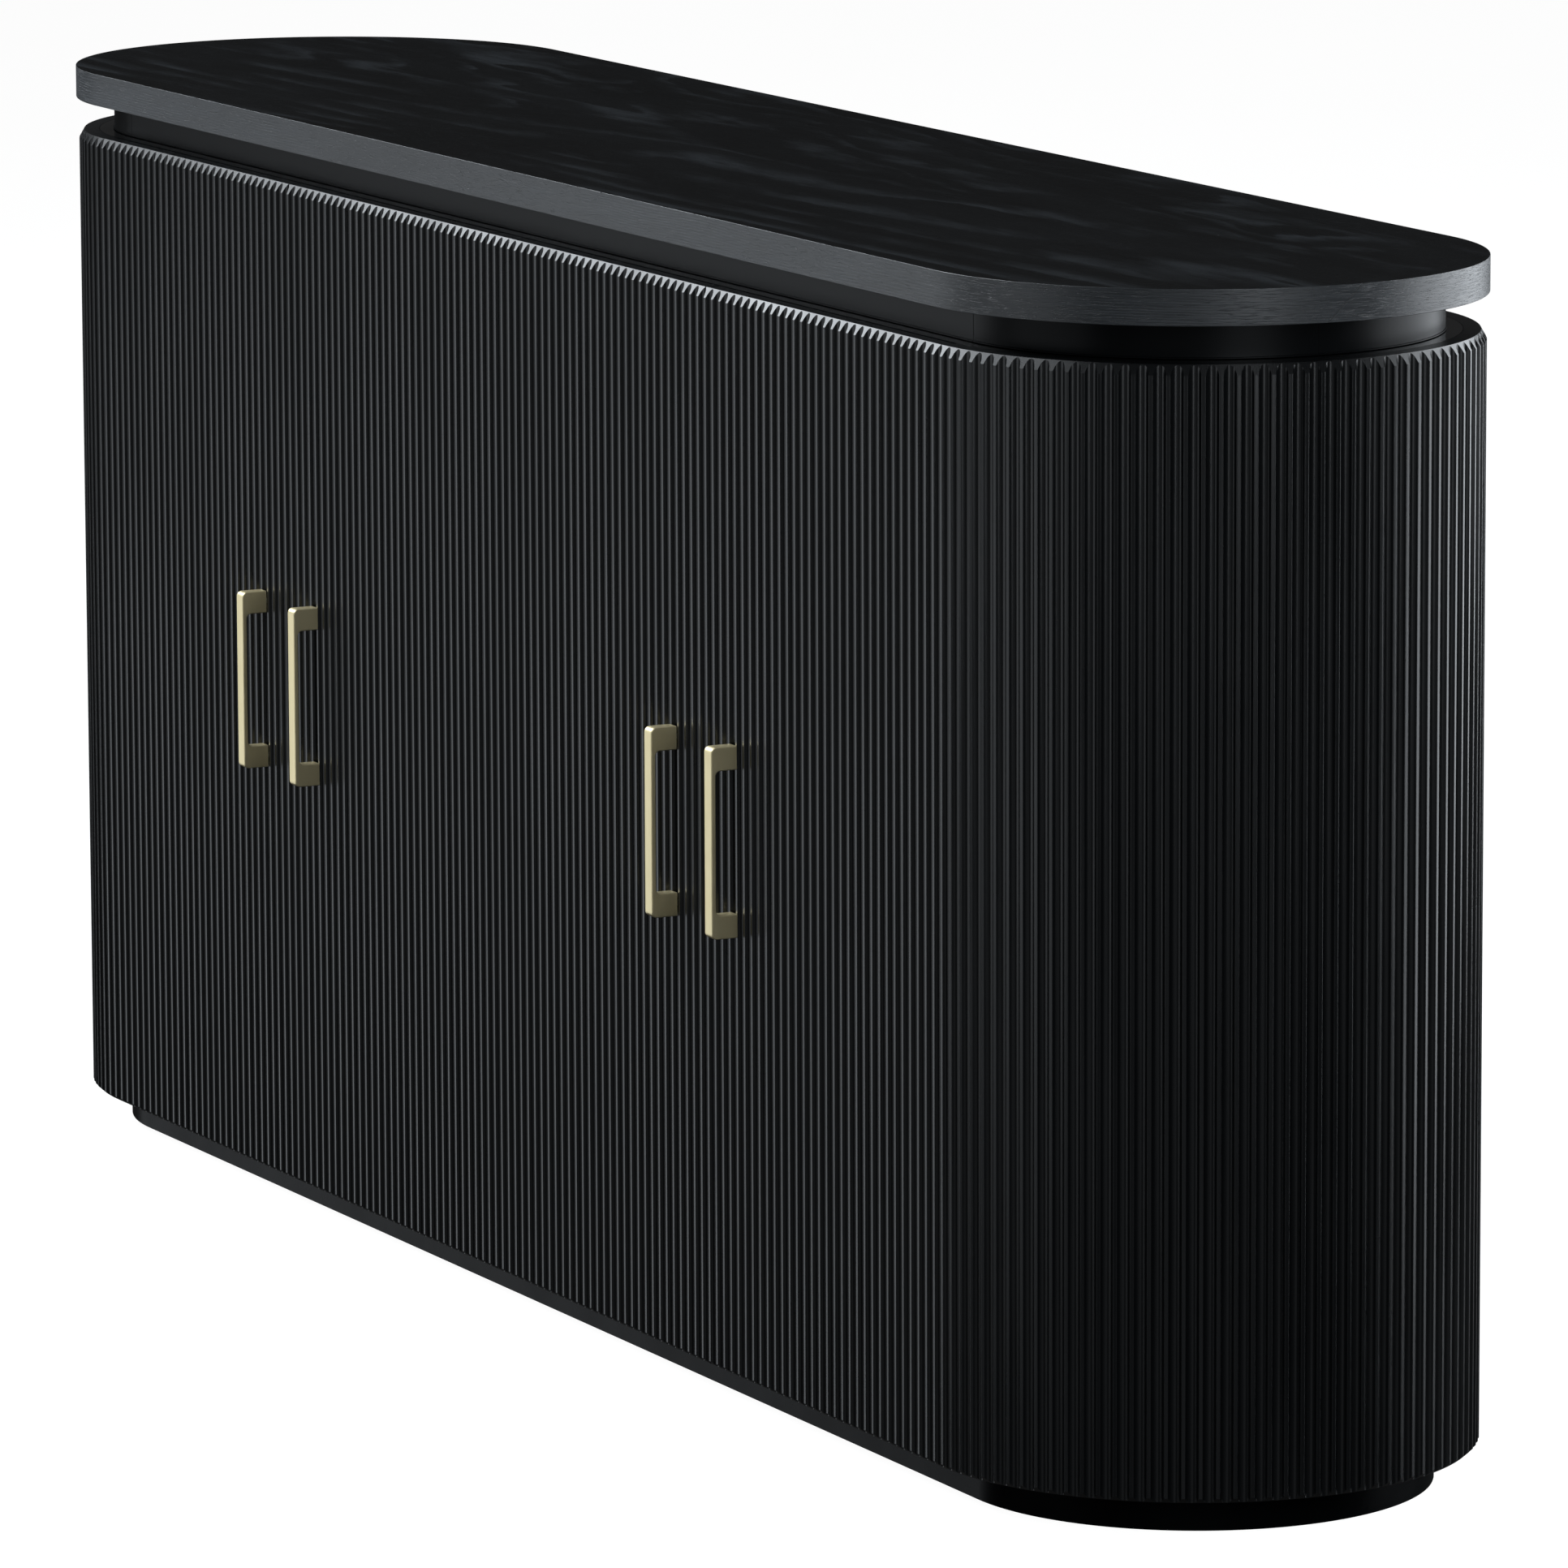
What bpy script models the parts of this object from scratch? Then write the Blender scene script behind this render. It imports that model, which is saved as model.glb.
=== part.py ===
"""Four-door sideboard buffet with round ends and a fluted body.

The plan is a stadium: a straight middle with a half circle at each end. The frame has X along the
length, the doors at -Y, +Z up, and its origin on the floor under the middle of the case.
Lengths are in metres.
"""

import math

import bmesh
import bpy
from mathutils import Matrix, Vector

# Overall size
TOP_LENGTH = 1.830
TOP_DEPTH = 0.400
OVERALL_HEIGHT = 0.850

# Boards
TOP_THICKNESS = 0.025
RISER_HEIGHT = 0.026
PLINTH_HEIGHT = 0.026
CASE_BOARD = 0.018
PLINTH_BOARD = 0.018
BACK_THICKNESS = 0.006
DOOR_THICKNESS = 0.0145

# Steps between the outlines, one above the other
BODY_INSET = 0.002
RISER_INSET = 0.030
PLINTH_INSET = 0.033

# Flutes: round grooves with a flat land between them
FLUTE_PITCH = 0.0117
FLUTE_LAND = 0.0030
FLUTE_DEPTH = 0.0037
GROOVE_STEPS = 4

# Doors, all four alike
DOOR_GAP = 0.002

# Bar handles, one beside the free edge of each door
HANDLE_LENGTH = 0.137
HANDLE_WIDTH = 0.0115
HANDLE_REACH = 0.020
HANDLE_POST = 0.017
HANDLE_BAR = 0.0036
HANDLE_CORNER = 0.0045
HANDLE_FILLET = 0.0035
HANDLE_FROM_SEAM = 0.048
HANDLE_SCREW_RADIUS = 0.002
HANDLE_SCREW_HEAD_RADIUS = 0.004
HANDLE_SCREW_HEAD = 0.0022
HANDLE_SCREW_BITE = 0.009

# Concealed hinges, two to a door
HINGE_FROM_DOOR_END = 0.100
CUP_RADIUS = 0.0130
CUP_DEPTH = 0.0085
CUP_WALL = 0.0010
CUP_FROM_EDGE = 0.018
CUP_FLANGE = 0.0012
CUP_FLANGE_HEIGHT = 0.044
CUP_FLANGE_WIDTH = 0.018
PLATE_THICKNESS = 0.0025
PLATE_LENGTH = 0.034
PLATE_HEIGHT = 0.044
PLATE_SETBACK = 0.020
ARM_LENGTH = 0.058
ARM_HEIGHT = 0.014
ARM_OFF_PANEL = 0.011
ARM_CRANK = 0.006

# One adjustable shelf in each half, on four pins
SHELF_TOP_HEIGHT = 0.420
SHELF_SETBACK = 0.026
SHELF_SIDE_GAP = 0.001
PIN_RADIUS = 0.0025
PIN_IN_BOARD = 0.008
PIN_UNDER_SHELF = 0.009
PIN_FROM_SHELF_END = 0.045

# Clearances
FIT = 0.0003
PIN_FIT = 0.0003

CROSS_RAIL_SPACING = 0.450
ARC_STEPS = 40
ROUND_STEPS = 20

# Worked out from the sizes above
top_radius = TOP_DEPTH / 2
half_straight = TOP_LENGTH / 2 - top_radius
body_radius = top_radius - BODY_INSET
riser_radius = top_radius - RISER_INSET
plinth_radius = top_radius - PLINTH_INSET
front_face = -body_radius
door_back = front_face + DOOR_THICKNESS
case_front = door_back + FIT + CUP_FLANGE + FIT
case_back = -case_front
board_radius = case_back
shell_inner_radius = board_radius + FIT
rim_height = OVERALL_HEIGHT - TOP_THICKNESS - RISER_HEIGHT
case_floor = PLINTH_HEIGHT + CASE_BOARD
case_ceiling = rim_height - CASE_BOARD
door_pitch = half_straight / 2
side_outer = half_straight - FIT
side_inner = side_outer - CASE_BOARD
door_middle_height = (PLINTH_HEIGHT + rim_height) / 2


def clear_scene():
    for thing in list(bpy.data.objects):
        bpy.data.objects.remove(thing, do_unlink=True)


def new_collection(name):
    group = bpy.data.collections.new(name)
    bpy.context.scene.collection.children.link(group)
    return group


def finish(name, colour, roughness, metallic=0.0):
    made = bpy.data.materials.new(name)
    made.use_nodes = True
    shader = made.node_tree.nodes["Principled BSDF"]
    shader.inputs["Base Color"].default_value = (*colour, 1.0)
    shader.inputs["Roughness"].default_value = roughness
    shader.inputs["Metallic"].default_value = metallic
    return made


clear_scene()
parts = new_collection("sideboard_buffet")
cutters = new_collection("cutters")

stained_oak = finish("stained_oak", (0.012, 0.014, 0.017), 0.42)
black_lacquer = finish("black_lacquer", (0.008, 0.009, 0.011), 0.35)
fluted_lacquer = finish("fluted_lacquer", (0.010, 0.011, 0.013), 0.30)
inside_black = finish("inside_black", (0.020, 0.020, 0.021), 0.60)
back_board = finish("back_board", (0.018, 0.018, 0.019), 0.70)
champagne = finish("champagne_metal", (0.62, 0.53, 0.34), 0.32, 1.0)
nickel = finish("nickel_steel", (0.60, 0.60, 0.58), 0.30, 1.0)


def add_part(name, data, material, place=(0.0, 0.0, 0.0)):
    """Put a mesh or curve in the model as one named piece."""
    piece = bpy.data.objects.new(name, data)
    piece.location = place
    piece.data.materials.clear()
    piece.data.materials.append(material)
    parts.objects.link(piece)
    return piece


def add_cutter(name, mesh, place):
    cutter = bpy.data.objects.new(name, mesh)
    cutter.location = place
    cutter.hide_render = True
    cutter.display_type = "WIRE"
    cutters.objects.link(cutter)
    return cutter


def block_mesh(name, size):
    """A box about its own centre."""
    work = bmesh.new()
    bmesh.ops.create_cube(work, size=1.0)
    bmesh.ops.scale(work, vec=Vector(size), verts=work.verts)
    mesh = bpy.data.meshes.new(name)
    work.to_mesh(mesh)
    work.free()
    return mesh


def rod_mesh(name, radius, length, axis, steps=ROUND_STEPS):
    """A cylinder about its own centre, along X, Y or Z."""
    turn = {"X": Matrix.Rotation(math.pi / 2, 3, "Y"), "Y": Matrix.Rotation(math.pi / 2, 3, "X")}
    work = bmesh.new()
    bmesh.ops.create_cone(
        work, cap_ends=True, segments=steps, radius1=radius, radius2=radius, depth=length
    )
    if axis in turn:
        bmesh.ops.rotate(work, cent=(0, 0, 0), matrix=turn[axis], verts=work.verts)
    mesh = bpy.data.meshes.new(name)
    work.to_mesh(mesh)
    work.free()
    return mesh


def block(name, low, high, material):
    """A box between two corners."""
    size = [b - a for a, b in zip(low, high)]
    centre = [(a + b) / 2 for a, b in zip(low, high)]
    return add_part(name, block_mesh(name, size), material, centre)


def flat_shape(name, outline, thickness):
    """A closed flat outline, as thick as given, half of it on each side."""
    curve = bpy.data.curves.new(name, "CURVE")
    curve.dimensions = "2D"
    curve.fill_mode = "BOTH"
    curve.extrude = thickness / 2
    spline = curve.splines.new("POLY")
    spline.points.add(len(outline) - 1)
    for point, (x, y) in zip(spline.points, outline):
        point.co = (x, y, 0.0, 1.0)
    spline.use_cyclic_u = True
    return curve


def board(name, outline, bottom, top, material):
    """An outline seen from above, standing between two heights."""
    shape = flat_shape(name, outline, top - bottom)
    return add_part(name, shape, material, (0.0, 0.0, (bottom + top) / 2))


def as_mesh(curve_piece):
    """The same piece as a closed mesh, so that it can be cut."""
    bpy.context.view_layer.update()
    seen = curve_piece.evaluated_get(bpy.context.evaluated_depsgraph_get())
    mesh = bpy.data.meshes.new_from_object(seen)
    work = bmesh.new()
    work.from_mesh(mesh)
    bmesh.ops.remove_doubles(work, verts=work.verts, dist=1e-6)
    work.to_mesh(mesh)
    work.free()
    name = curve_piece.name
    material = curve_piece.data.materials[0]
    placed = curve_piece.matrix_world.copy()
    bpy.data.objects.remove(curve_piece, do_unlink=True)
    piece = add_part(name, mesh, material)
    piece.matrix_world = placed
    return piece


def combine(piece, tool, operation, solver="EXACT"):
    step = piece.modifiers.new(tool.name, "BOOLEAN")
    step.operation = operation
    step.solver = solver
    step.object = tool


def drill(piece, name, radius, length, centre, axis, solver="EXACT"):
    hole = add_cutter(name, rod_mesh(name, radius, length, axis), centre)
    combine(piece, hole, "DIFFERENCE", solver)


def arc(centre_x, radius, first, last, steps):
    """Points round a circle on the X axis, by the angle in degrees from +X."""
    points = []
    for step in range(steps + 1):
        angle = math.radians(first + (last - first) * step / steps)
        points.append((centre_x + radius * math.cos(angle), radius * math.sin(angle)))
    return points


def stadium(radius):
    right = arc(half_straight, radius, -90, 90, ARC_STEPS)
    left = arc(-half_straight, radius, 90, 270, ARC_STEPS)
    return right + left


def half_ring(side, outer, inner):
    """The outline of a round end rail: side is 1 for the right and -1 for the left."""
    outside = arc(half_straight, outer, -90, 90, ARC_STEPS)
    inside = arc(half_straight, inner, 90, -90, ARC_STEPS)
    return [(side * x, y) for x, y in outside + inside]


def whole_pitch(length):
    """The flute pitch that fits a whole number of flutes into a length."""
    return length / max(2, round(length / FLUTE_PITCH))


def groove_circle(pitch):
    """Half the width of a groove and the radius of its round bottom.

    A groove deeper than half its width has straight walls above a half-round bottom.
    """
    half_width = (pitch - FLUTE_LAND) / 2
    if FLUTE_DEPTH >= half_width:
        return half_width, half_width
    return half_width, (half_width**2 + FLUTE_DEPTH**2) / (2 * FLUTE_DEPTH)


def groove_points(pitch):
    """Distances from a groove's middle along the face, each with the depth there."""
    half_width, radius = groove_circle(pitch)
    swing = math.asin(half_width / radius)
    points = []
    for step in range(GROOVE_STEPS + 1):
        angle = swing * (2 * step / GROOVE_STEPS - 1)
        points.append((radius * math.sin(angle), FLUTE_DEPTH - radius * (1 - math.cos(angle))))
    if FLUTE_DEPTH > half_width:
        points = [(-half_width, 0.0)] + points + [(half_width, 0.0)]
    return points


def fluted_line(length):
    """Distance along a fluted face and depth below its lands, with half a groove at each end."""
    pitch = whole_pitch(length)
    line = [(0.0, FLUTE_DEPTH)]
    for number in range(round(length / pitch) + 1):
        for offset, depth in groove_points(pitch):
            along = number * pitch + offset
            if 1e-6 < along < length - 1e-6:
                line.append((along, depth))
    line.append((length, FLUTE_DEPTH))
    return line


def depth_beside(seam_offset, length):
    """How deep the groove on a seam still is at a small distance from the seam."""
    radius = groove_circle(whole_pitch(length))[1]
    return FLUTE_DEPTH - radius + math.sqrt(radius**2 - seam_offset**2)


# Case: boards that the doors and the round ends close in
board("top_slab", stadium(top_radius), OVERALL_HEIGHT - TOP_THICKNESS, OVERALL_HEIGHT, stained_oak)
board(
    "riser",
    stadium(riser_radius),
    rim_height + FIT,
    OVERALL_HEIGHT - TOP_THICKNESS - FIT,
    black_lacquer,
)
board("case_top", stadium(board_radius), case_ceiling, rim_height, black_lacquer)
board("case_bottom", stadium(board_radius), PLINTH_HEIGHT, case_floor, inside_black)

upright_low = case_floor + FIT
upright_high = case_ceiling - FIT
uprights = {
    "side_panel_left": (-side_outer, -side_inner),
    "side_panel_right": (side_inner, side_outer),
    "centre_divider": (-CASE_BOARD / 2, CASE_BOARD / 2),
}
for name, (left, right) in uprights.items():
    uprights[name] = block(
        name,
        (left, case_front, upright_low),
        (right, case_back, upright_high),
        inside_black,
    )

block(
    "back_panel",
    (-side_outer, case_back + FIT, PLINTH_HEIGHT),
    (side_outer, case_back + FIT + BACK_THICKNESS, rim_height),
    back_board,
)


def fluted_end(name, side):
    """A half-round shell: grooves outside, plain inside, square edges beside the doors and back."""
    outside = []
    for along, depth in fluted_line(math.pi * body_radius):
        angle = -math.pi / 2 + along / body_radius
        radius = body_radius - depth
        outside.append((half_straight + radius * math.cos(angle), radius * math.sin(angle)))
    inside = arc(half_straight, shell_inner_radius, 90, -90, ARC_STEPS)
    outline = [(side * x, y) for x, y in outside + inside]
    return board(name, outline, PLINTH_HEIGHT, rim_height, fluted_lacquer)


fluted_end("round_end_left", -1)
fluted_end("round_end_right", 1)

# Plinth: a low ring set back under the case, with cross rails
plinth_top = PLINTH_HEIGHT - FIT
plinth_inner = plinth_radius - PLINTH_BOARD
for name, side in (("plinth_end_left", -1), ("plinth_end_right", 1)):
    board(name, half_ring(side, plinth_radius, plinth_inner), 0.0, plinth_top, black_lacquer)
for name, side in (("plinth_front", -1), ("plinth_back", 1)):
    faces = sorted((side * plinth_inner, side * plinth_radius))
    rail_end = half_straight - FIT
    block(
        name,
        (-rail_end, faces[0], 0.0),
        (rail_end, faces[1], plinth_top),
        black_lacquer,
    )
for name, middle in (
    ("plinth_cross_left", -CROSS_RAIL_SPACING),
    ("plinth_cross_centre", 0.0),
    ("plinth_cross_right", CROSS_RAIL_SPACING),
):
    block(
        name,
        (middle - PLINTH_BOARD / 2, -plinth_inner + FIT, 0.0),
        (middle + PLINTH_BOARD / 2, plinth_inner - FIT, plinth_top),
        inside_black,
    )

# Shelves and their pins
shelf_low = SHELF_TOP_HEIGHT - CASE_BOARD
shelf_front = case_front + SHELF_SETBACK
shelf_back = case_back - SHELF_SIDE_GAP
pin_height = shelf_low - FIT - PIN_RADIUS
pin_length = PIN_IN_BOARD + PIN_UNDER_SHELF
shelf_places = {
    "left": (-side_inner, -CASE_BOARD / 2, "side_panel_left", "centre_divider"),
    "right": (CASE_BOARD / 2, side_inner, "centre_divider", "side_panel_right"),
}
for half, (inner_left, inner_right, left_upright, right_upright) in shelf_places.items():
    block(
        f"shelf_{half}",
        (inner_left + SHELF_SIDE_GAP, shelf_front, shelf_low),
        (inner_right - SHELF_SIDE_GAP, shelf_back, SHELF_TOP_HEIGHT),
        inside_black,
    )
    for wall, face, into in ((left_upright, inner_left, -1), (right_upright, inner_right, 1)):
        for end, along in (
            ("front", shelf_front + PIN_FROM_SHELF_END),
            ("rear", shelf_back - PIN_FROM_SHELF_END),
        ):
            label = f"{half}_{'outer' if 'side' in wall else 'inner'}_{end}"
            middle = face + into * (PIN_IN_BOARD - PIN_UNDER_SHELF) / 2
            add_part(
                f"shelf_pin_{label}",
                rod_mesh(f"shelf_pin_{label}", PIN_RADIUS, pin_length, "X"),
                nickel,
                (middle, along, pin_height),
            )
            drill(
                uprights[wall],
                f"pin_hole_{label}",
                PIN_RADIUS + PIN_FIT,
                2 * (PIN_IN_BOARD + FIT),
                (face, along, pin_height),
                "X",
            )


def door_outline(left_seam):
    """A door seen from above, between two seams: flutes in front, a flat back."""
    edge_depth = depth_beside(DOOR_GAP / 2, door_pitch)
    left = left_seam + DOOR_GAP / 2
    right = left_seam + door_pitch - DOOR_GAP / 2
    front = [(left, front_face + edge_depth)]
    for along, depth in fluted_line(door_pitch):
        x = left_seam + along
        if left + 1e-6 < x < right - 1e-6:
            front.append((x, front_face + depth))
    front.append((right, front_face + edge_depth))
    return front + [(right, door_back), (left, door_back)]


def handle_outline():
    """A handle seen from the side, as reach in front of the door and height from its middle."""
    high = HANDLE_LENGTH / 2
    foot = high - HANDLE_POST
    inner = HANDLE_REACH - HANDLE_BAR
    outer_arc = []
    inner_arc = []
    for step in range(5):
        angle = math.radians(90 * step / 4)
        outer_arc.append(
            (
                HANDLE_REACH - HANDLE_CORNER * (1 - math.sin(angle)),
                high - HANDLE_CORNER * (1 - math.cos(angle)),
            )
        )
        inner_arc.append(
            (
                inner - HANDLE_FILLET * (1 - math.sin(angle)),
                foot - HANDLE_FILLET * (1 - math.cos(angle)),
            )
        )
    upper = [(0.0, high)] + outer_arc
    lower = [(reach, -height) for reach, height in reversed(upper)]
    slot_low = [(reach, -height) for reach, height in inner_arc]
    slot_high = list(reversed(inner_arc))
    return upper + lower + [(0.0, -foot)] + slot_low + slot_high + [(0.0, foot)]


def handle(name, middle_x):
    """A bent bar pull: the side outline stood on end, as wide as the bar."""
    shape = flat_shape(name, handle_outline(), HANDLE_WIDTH)
    place = (middle_x, front_face - FIT, door_middle_height)
    pull = add_part(name, shape, champagne, place)
    pull.rotation_euler = (math.pi / 2, 0.0, -math.pi / 2)
    return as_mesh(pull)


def handle_screw(name, x, z):
    """A machine screw from behind the door: its head lies on the door, its end is in the handle."""
    under_head = door_back + FIT
    half_head = HANDLE_SCREW_HEAD / 2
    tip = front_face - FIT - HANDLE_SCREW_BITE
    shank_end = under_head + half_head
    screw = add_part(
        name,
        rod_mesh(name, HANDLE_SCREW_RADIUS, shank_end - tip, "Y", 12),
        nickel,
        (x, (shank_end + tip) / 2, z),
    )
    head = add_cutter(
        f"{name}_head",
        rod_mesh(f"{name}_head", HANDLE_SCREW_HEAD_RADIUS, HANDLE_SCREW_HEAD, "Y", 16),
        (x, under_head + half_head, z),
    )
    combine(screw, head, "UNION")
    return screw


def hinge_cup(name, x, z):
    """The pressed cup that sinks into the door, with its flange on the door's back."""
    under_flange = door_back + FIT
    cup_top = under_flange + CUP_FLANGE / 2
    cup_height = cup_top - (door_back - CUP_DEPTH)
    cup = add_part(
        name,
        rod_mesh(name, CUP_RADIUS, cup_height, "Y", 24),
        nickel,
        (x, cup_top - cup_height / 2, z),
    )
    flange = add_cutter(
        f"{name}_flange",
        block_mesh(f"{name}_flange", (CUP_FLANGE_WIDTH, CUP_FLANGE, CUP_FLANGE_HEIGHT)),
        (x, under_flange + CUP_FLANGE / 2, z),
    )
    combine(cup, flange, "UNION")
    hollow_floor = door_back - CUP_DEPTH + CUP_WALL
    hollow_mouth = under_flange + 2 * CUP_FLANGE
    drill(
        cup,
        f"{name}_hollow",
        CUP_RADIUS - CUP_WALL,
        hollow_mouth - hollow_floor,
        (x, (hollow_mouth + hollow_floor) / 2, z),
        "Y",
    )
    return cup


def hinge_arm(name, face, inward, z, crank):
    """The mounting plate on an upright and the arm that it carries, up to the case's front edge."""
    plate_middle = face + inward * (FIT + PLATE_THICKNESS / 2)
    arm = add_part(
        name,
        block_mesh(name, (PLATE_THICKNESS, PLATE_LENGTH, PLATE_HEIGHT)),
        nickel,
        (plate_middle, case_front + PLATE_SETBACK + PLATE_LENGTH / 2, z),
    )
    arm_depth = ARM_OFF_PANEL + crank - PLATE_THICKNESS / 2 - FIT
    bar = add_cutter(
        f"{name}_bar",
        block_mesh(f"{name}_bar", (arm_depth, ARM_LENGTH, ARM_HEIGHT)),
        (plate_middle + inward * arm_depth / 2, case_front + ARM_LENGTH / 2, z),
    )
    combine(arm, bar, "UNION")
    return arm


# Doors 1 and 2 share the left opening, doors 3 and 4 the right one.
# hinge_side is -1 where the hinges are on the door's left edge and 1 where they are on its right.
hinge_heights = {
    "lower": PLINTH_HEIGHT + HINGE_FROM_DOOR_END,
    "upper": rim_height - HINGE_FROM_DOOR_END,
}
screw_heights = {
    "lower": door_middle_height - (HANDLE_LENGTH - HANDLE_POST) / 2,
    "upper": door_middle_height + (HANDLE_LENGTH - HANDLE_POST) / 2,
}
door_plan = (
    (1, -1, -side_inner, 0.0),
    (2, 1, -CASE_BOARD / 2, ARM_CRANK),
    (3, -1, CASE_BOARD / 2, ARM_CRANK),
    (4, 1, side_inner, 0.0),
)
for number, hinge_side, upright_face, crank in door_plan:
    left_seam = -half_straight + (number - 1) * door_pitch
    right_seam = left_seam + door_pitch
    hinge_seam, free_seam = (left_seam, right_seam)[::-hinge_side]
    hinge_x = hinge_seam - hinge_side * DOOR_GAP / 2
    handle_x = free_seam + hinge_side * HANDLE_FROM_SEAM
    cup_x = hinge_x - hinge_side * CUP_FROM_EDGE

    swing = bpy.data.objects.new(f"door_{number}_axis", None)
    swing.location = (hinge_x, front_face, door_middle_height)
    parts.objects.link(swing)

    door = board(
        f"door_{number}", door_outline(left_seam), PLINTH_HEIGHT, rim_height, fluted_lacquer
    )
    door = as_mesh(door)
    pull = handle(f"handle_{number}", handle_x)
    moving = [door, pull]
    for level, z in screw_heights.items():
        name = f"handle_screw_{number}_{level}"
        moving.append(handle_screw(name, handle_x, z))
        hole_radius = HANDLE_SCREW_RADIUS + FIT
        door_middle = (front_face + door_back) / 2
        drill(
            door,
            f"{name}_hole",
            hole_radius,
            3 * DOOR_THICKNESS,
            (handle_x, door_middle, z),
            "Y",
            "MANIFOLD",
        )
        drill(
            pull,
            f"{name}_thread",
            hole_radius,
            2 * (HANDLE_SCREW_BITE + FIT),
            (handle_x, front_face - FIT, z),
            "Y",
        )
    for level, z in hinge_heights.items():
        name = f"hinge_cup_{number}_{level}"
        moving.append(hinge_cup(name, cup_x, z))
        drill(
            door,
            f"{name}_bore",
            CUP_RADIUS + FIT,
            2 * (CUP_DEPTH + FIT),
            (cup_x, door_back, z),
            "Y",
            "MANIFOLD",
        )
        hinge_arm(f"hinge_arm_{number}_{level}", upright_face, -hinge_side, z, crank)
    for piece in moving:
        piece.parent = swing
        piece.matrix_parent_inverse = Matrix.Translation(swing.location).inverted()
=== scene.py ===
"""A four-door sideboard buffet with round ends and a fluted body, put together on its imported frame.

X runs along the length, the doors face -Y, and Z is up. Lengths are in metres.
"""

import math

import bmesh
import bpy
from mathutils import Matrix, Vector


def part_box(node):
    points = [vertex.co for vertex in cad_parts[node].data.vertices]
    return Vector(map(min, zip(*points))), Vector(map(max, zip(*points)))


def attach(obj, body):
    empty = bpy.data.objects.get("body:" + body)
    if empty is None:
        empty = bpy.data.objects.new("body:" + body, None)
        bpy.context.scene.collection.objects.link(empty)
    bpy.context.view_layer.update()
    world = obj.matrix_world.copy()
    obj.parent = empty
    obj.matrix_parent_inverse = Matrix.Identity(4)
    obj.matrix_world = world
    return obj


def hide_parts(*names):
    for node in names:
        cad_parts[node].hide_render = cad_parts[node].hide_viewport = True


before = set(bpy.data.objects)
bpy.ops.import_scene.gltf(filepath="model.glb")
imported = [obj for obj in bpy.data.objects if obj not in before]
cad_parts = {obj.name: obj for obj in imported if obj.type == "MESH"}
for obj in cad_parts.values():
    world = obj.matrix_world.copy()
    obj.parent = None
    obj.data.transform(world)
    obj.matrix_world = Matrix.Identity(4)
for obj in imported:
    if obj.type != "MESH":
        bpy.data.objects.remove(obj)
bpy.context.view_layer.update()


# ---- Plinth -----------------------------------------------------------------------------------
# A low ring set back under the case: two straight rails and two rails bent to half circles,
# butted at the ends of the straight front. Lacquered satin black, with slightly eased edges.


class Value:
    """A socket of a material's nodes. Any sum on it is worked out by a Math node."""

    def __init__(self, finish, socket):
        self.finish = finish
        self.socket = socket

    def sum(self, operation, *terms):
        return self.finish.node("Math", {"operation": operation}, dict(enumerate(terms)))

    def __add__(self, other):
        return self.sum("ADD", self, other)

    def __sub__(self, other):
        return self.sum("SUBTRACT", self, other)

    def __mul__(self, other):
        return self.sum("MULTIPLY", self, other)

    def __pow__(self, other):
        return self.sum("POWER", self, other)

    def __abs__(self):
        return self.sum("ABSOLUTE", self)

    def or_less(self, other):
        return self.sum("MINIMUM", self, other)


class Finish:
    """A material: a Principled shader with fixed values, and the nodes that vary over it."""

    def __init__(self, name, **fixed):
        self.material = bpy.data.materials.new(name)
        self.material.use_nodes = True
        self.tree = self.material.node_tree
        self.shader = self.tree.nodes["Principled BSDF"]
        for socket, value in fixed.items():
            self.shader.inputs[socket.replace("_", " ")].default_value = value

    def feed(self, socket, value):
        if isinstance(value, Value):
            self.tree.links.new(value.socket, socket)
        else:
            socket.default_value = value

    def node(self, kind, settings=None, inputs=None, output=0):
        made = self.tree.nodes.new("ShaderNode" + kind)
        for setting, value in (settings or {}).items():
            setattr(made, setting, value)
        for socket, value in (inputs or {}).items():
            self.feed(made.inputs[socket], value)
        return Value(self, made.outputs[output])

    def part_of(self, vector, axis):
        return self.node("SeparateXYZ", None, {"Vector": vector}, axis)

    def place(self):
        return self.node("TexCoord", None, None, "Object")

    def noise(self, vector, stretch, scale, detail=3.0, roughness=0.55):
        """Cloudy noise from 0 to 1, with a vector stretched along its axes."""
        stretched = self.node("Mapping", None, {"Vector": vector, "Scale": stretch})
        return self.node(
            "TexNoise",
            None,
            {"Vector": stretched, "Scale": scale, "Detail": detail, "Roughness": roughness},
            "Fac",
        )

    def ramp(self, value, low, high, bottom=0.0, top=1.0):
        """A value carried smoothly from one range to another, and held at its ends."""
        return self.node(
            "MapRange",
            {"interpolation_type": "SMOOTHSTEP"},
            {"Value": value, "From Min": low, "From Max": high, "To Min": bottom, "To Max": top},
        )

    def blend(self, amount, first, second):
        """A colour between two colours."""
        return self.node("Mix", {"data_type": "RGBA"}, {0: amount, 6: first, 7: second}, 2)

    def relief(self, height, depth, strength=1.0):
        bump = self.node(
            "Bump", None, {"Height": height, "Distance": depth, "Strength": strength}, "Normal"
        )
        self.set("Normal", bump)

    def set(self, socket, value):
        self.feed(self.shader.inputs[socket], value)


def grey(level, tint=(1.0, 1.0, 1.0)):
    return (level * tint[0], level * tint[1], level * tint[2], 1.0)


COOL = (0.88, 1.0, 1.12)


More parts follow.
